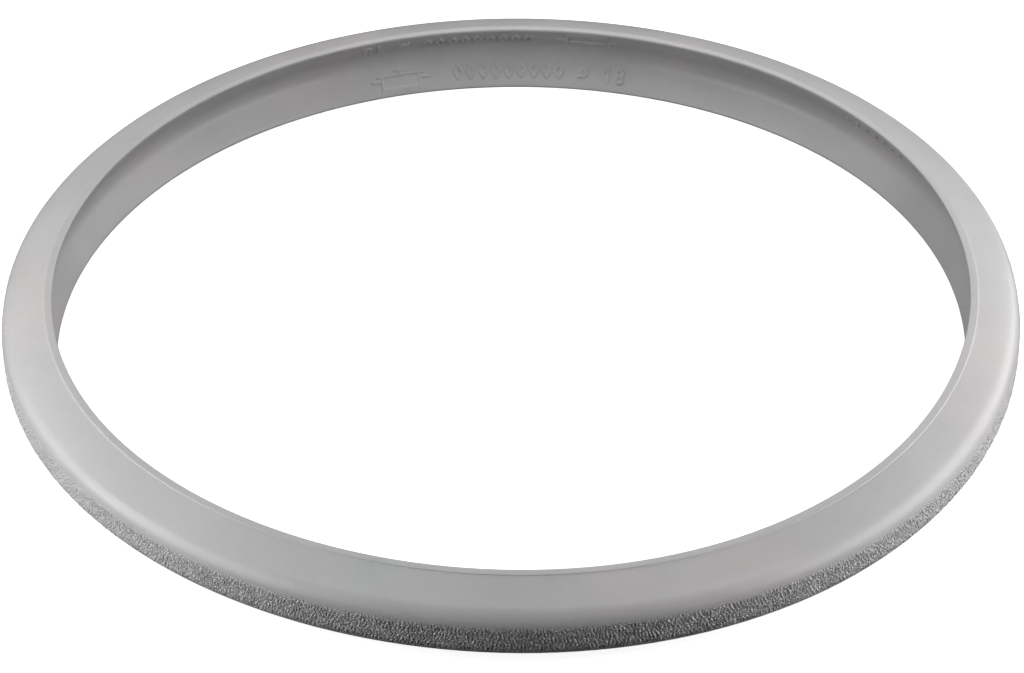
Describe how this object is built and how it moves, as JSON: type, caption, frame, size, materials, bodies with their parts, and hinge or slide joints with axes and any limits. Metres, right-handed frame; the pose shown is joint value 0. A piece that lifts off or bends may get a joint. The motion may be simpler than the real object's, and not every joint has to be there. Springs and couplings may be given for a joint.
{
  "type": "pressure cooker sealing ring",
  "caption": "Round silicone sealing ring for a stovetop pressure cooker lid, with two inward lips, a groove between them and a straight outer wall.",
  "frame": {"origin": "centre of the ring, in the plane of the lower lip's flat land that it rests on", "axes": "+Z along the ring's axis, up; +Y towards the middle of the moulded marks"},
  "size_m": [0.2, 0.2, 0.0148],
  "materials": {
    "silicone": "satin moulded silicone, grey"
  },
  "bodies": {
    "root": {"sealing_ring": "silicone"}
  },
  "joints": []
}
